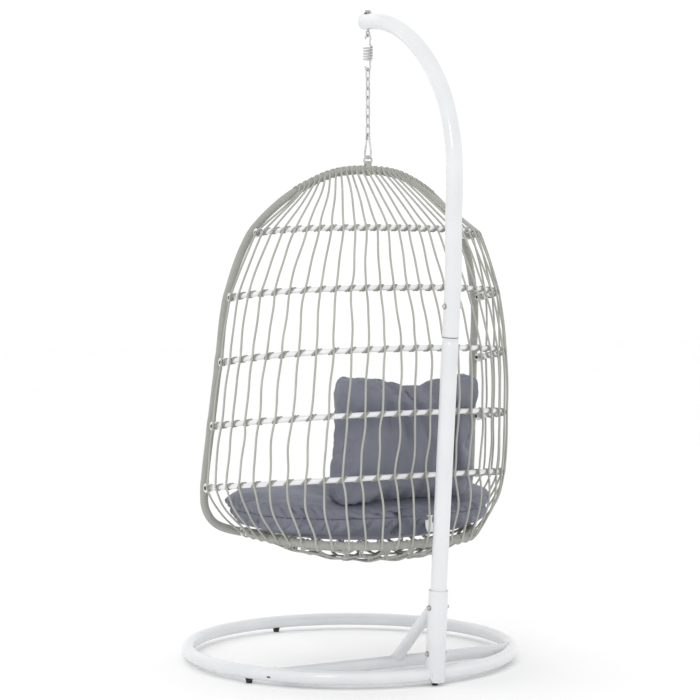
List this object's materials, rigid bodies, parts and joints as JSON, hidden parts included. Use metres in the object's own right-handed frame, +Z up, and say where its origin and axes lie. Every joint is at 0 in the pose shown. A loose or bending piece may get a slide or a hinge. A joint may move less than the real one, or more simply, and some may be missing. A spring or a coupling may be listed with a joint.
{
  "type": "hanging egg chair",
  "caption": "Egg-shaped corded basket seat with a thick seat pad and a back pillow, hung by chain and spring from a curved pole on a round floor ring.",
  "frame": {"origin": "floor level, under the middle of the whole chair's width and depth", "axes": "+Z up; the sitter faces -Y; the pole stands at +Y, behind the basket; +X is the sitter's left"},
  "size_m": [1.04, 1.144, 1.984],
  "materials": {
    "stand_paint": "gloss",
    "basket_paint": "gloss",
    "nickel": "polished",
    "zinc": "satin",
    "cord": "matte",
    "cushion_cloth": "matte",
    "rubber": "matte",
    "pivot_plastic": "satin"
  },
  "bodies": {
    "stand": {"base_ring": "stand_paint", "cross_tube": "stand_paint", "pole_socket": "stand_paint", "brace_tube": "stand_paint", "lower_pole": "stand_paint", "upper_pole": "stand_paint", "pole_end_cap": "stand_paint", "socket_1_bolt": "nickel", "socket_1_nut": "nickel", "socket_2_bolt": "nickel", "socket_2_nut": "nickel", "pole_joint_bolt": "nickel", "pole_joint_nut": "nickel", "foot_1": "rubber", "foot_2": "rubber", "foot_3": "rubber", "foot_4": "rubber"},
    "eye_bolt": {"hook_eye_bolt": "nickel", "hook_eye_nut": "nickel"},
    "spring": {"spring": "zinc"},
    "chain_head": {"chain_link_1": "zinc"},
    "chain": {"chain_link_2": "zinc", "chain_link_3": "zinc", "chain_link_4": "zinc", "chain_link_5": "zinc", "chain_link_6": "zinc", "chain_link_7": "zinc", "snap_hook": "zinc"},
    "gate": {"snap_hook_gate": "zinc"},
    "basket": {"hanger_ring": "zinc", "front_frame": "basket_paint", "frame_wrap": "cord", "hoop_1_bolt_left": "pivot_plastic", "hoop_1_bolt_right": "pivot_plastic", "hoop_2_bolt_left": "pivot_plastic", "hoop_2_bolt_right": "pivot_plastic", "hoop_3_bolt_left": "pivot_plastic", "hoop_3_bolt_right": "pivot_plastic", "hoop_4_bolt_left": "pivot_plastic", "hoop_4_bolt_right": "pivot_plastic", "hoop_5_bolt_left": "pivot_plastic", "hoop_5_bolt_right": "pivot_plastic", "seat_loop_bolt_left": "pivot_plastic", "seat_loop_bolt_right": "pivot_plastic"},
    "hoop_1": {"hoop_1": "basket_paint"},
    "hoop_2": {"hoop_2": "basket_paint"},
    "hoop_3": {"hoop_3": "basket_paint"},
    "hoop_4": {"hoop_4": "basket_paint"},
    "hoop_5": {"hoop_5": "basket_paint"},
    "ropes": {"rope_band_1": "cord", "rope_band_2": "cord", "rope_band_3": "cord", "rope_band_4": "cord", "rope_band_5": "cord", "rope_band_6": "cord"},
    "seat": {"seat_loop": "basket_paint", "seat_loop_wrap": "cord", "seat_net": "cord"},
    "seat_pad": {"seat_cushion": "cushion_cloth"},
    "pillow": {"back_cushion": "cushion_cloth"}
  },
  "joints": [
    {"name": "swivel", "type": "hinge", "parent": "stand", "child": "eye_bolt", "pos_m": [0, 0.05822, 1.93], "axis": [0, 0, 1], "range_deg": [-50, 50]},
    {"name": "swing_fore_aft", "type": "hinge", "parent": "eye_bolt", "child": "spring", "pos_m": [0, 0.05822, 1.904], "axis": [1, 0, 0], "range_deg": [-25, 3.5]},
    {"name": "spring_stretch", "type": "slide", "parent": "spring", "child": "chain_head", "axis": [0, 0, -1], "range_m": [-0.0075, 0.03], "stiffness_N_per_m": 25000, "springref_m": -0.00692, "deforming": ["spring"]},
    {"name": "swing_sideways", "type": "hinge", "parent": "chain_head", "child": "chain", "pos_m": [0, 0.05822, 1.7797], "axis": [0, 1, 0], "range_deg": [-15, 15]},
    {"name": "gate_open", "type": "hinge", "parent": "chain", "child": "gate", "pos_m": [0.00093, 0.05341, 1.5943], "axis": [0.9816, 0.1908, 0], "range_deg": [0, 22], "stiffness_Nm_per_rad": 0.3, "springref_deg": -11.46},
    {"name": "basket_tilt", "type": "hinge", "parent": "chain", "child": "basket", "pos_m": [0, 0.05822, 1.543], "axis": [1, 0, 0], "range_deg": [-12, 4]},
    {"name": "seat_fold", "type": "hinge", "parent": "basket", "child": "seat", "pos_m": [0, -0.09571, 0.40576], "axis": [1, 0, 0], "range_deg": [0, 81.2]},
    {"name": "hoop_1_fold", "type": "hinge", "parent": "basket", "child": "hoop_1", "pos_m": [0, 0.03886, 1.30579], "axis": [1, 0, 0], "range_deg": [0, 70.8]},
    {"name": "hoop_2_fold", "type": "hinge", "parent": "basket", "child": "hoop_2", "pos_m": [0, 0.00394, 1.1148], "axis": [1, 0, 0], "range_deg": [0, 67.6]},
    {"name": "hoop_3_fold", "type": "hinge", "parent": "basket", "child": "hoop_3", "pos_m": [0, -0.02306, 0.92268], "axis": [1, 0, 0], "range_deg": [0, 65.2]},
    {"name": "hoop_4_fold", "type": "hinge", "parent": "basket", "child": "hoop_4", "pos_m": [0, -0.04978, 0.73255], "axis": [1, 0, 0], "range_deg": [0, 65.2]},
    {"name": "hoop_5_fold", "type": "hinge", "parent": "basket", "child": "hoop_5", "pos_m": [0, -0.07594, 0.54638], "axis": [1, 0, 0], "range_deg": [0, 65.2]},
    {"name": "ropes_fold", "type": "slide", "parent": "basket", "child": "ropes", "axis": [0, -0.6331, 0.7741], "range_m": [0, 0.601], "deforming": ["rope_band_1", "rope_band_2", "rope_band_3", "rope_band_4", "rope_band_5", "rope_band_6"]},
    {"name": "seat_pad_lift", "type": "slide", "parent": "seat", "child": "seat_pad", "axis": [0, 0.0227, 0.9997], "range_m": [0, 0.06]},
    {"name": "pillow_tip", "type": "hinge", "parent": "seat_pad", "child": "pillow", "pos_m": [0, 0.16044, 0.54699], "axis": [1, 0, 0], "range_deg": [0, 25]}
  ],
  "couplings": [
    {"joint": "hoop_1_fold", "follows": "seat_fold", "ratio": 0.86897},
    {"joint": "hoop_2_fold", "follows": "seat_fold", "ratio": 0.82956},
    {"joint": "hoop_3_fold", "follows": "seat_fold", "ratio": 0.8},
    {"joint": "hoop_4_fold", "follows": "seat_fold", "ratio": 0.8},
    {"joint": "hoop_5_fold", "follows": "seat_fold", "ratio": 0.8},
    {"joint": "ropes_fold", "follows": "seat_fold", "m_per_rad": 0.42337}
  ]
}
